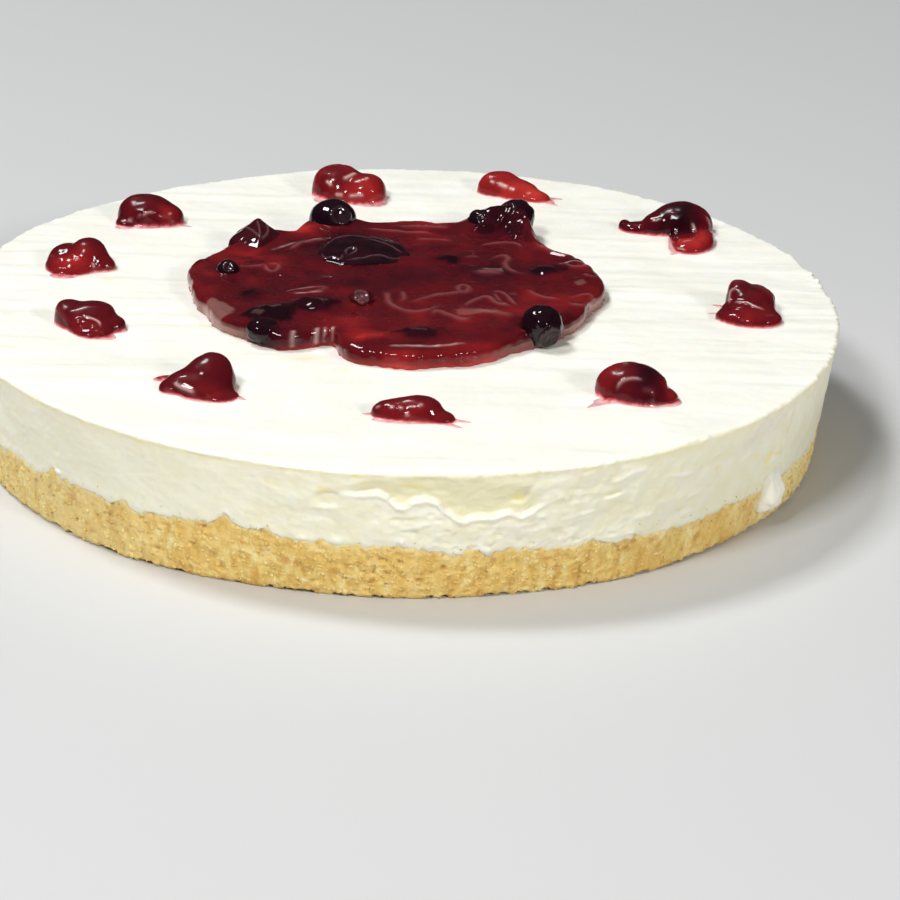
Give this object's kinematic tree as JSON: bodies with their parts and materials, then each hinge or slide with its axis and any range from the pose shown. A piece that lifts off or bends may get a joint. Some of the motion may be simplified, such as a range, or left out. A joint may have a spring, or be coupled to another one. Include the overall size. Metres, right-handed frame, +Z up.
{
  "type": "cheesecake",
  "caption": "Whole round chilled cheesecake with a biscuit-crumb base, a thick pale cream filling, a pool of mixed-berry compote in the middle and spoonfuls of it round the rim.",
  "frame": {"origin": "on the cake's axis, on the surface that the crumb base stands on", "axes": "+Z up, +X to the right and -Y towards the viewer, seen from the side with the notch in the compote pool"},
  "size_m": [0.2512, 0.2514, 0.0501],
  "materials": {
    "crumb": "dry pressed biscuit crumb, golden, grainy",
    "cream": "soft set cream cheese, off-white, slightly moist",
    "compote": "wet translucent deep-red berry jelly, glossy",
    "berry": "near-black berry skin under a film of syrup, glossy"
  },
  "bodies": {
    "root": {"crumb_base": "crumb", "cheese_filling": "cream", "compote_pool": "compote", "spoonful_01": "compote", "spoonful_02": "compote", "spoonful_03": "compote", "spoonful_04": "compote", "spoonful_05": "compote", "spoonful_06": "compote", "spoonful_07": "compote", "spoonful_08": "compote", "spoonful_09": "compote", "spoonful_10": "compote", "berry_back_left": "berry", "berry_back_right_large": "berry", "berry_back_right_small": "berry", "cherry_rear_left": "berry", "currant_left": "berry", "cherry_middle": "berry", "berry_middle": "berry", "berry_front_left": "berry", "berry_front_right": "berry"}
  },
  "joints": []
}
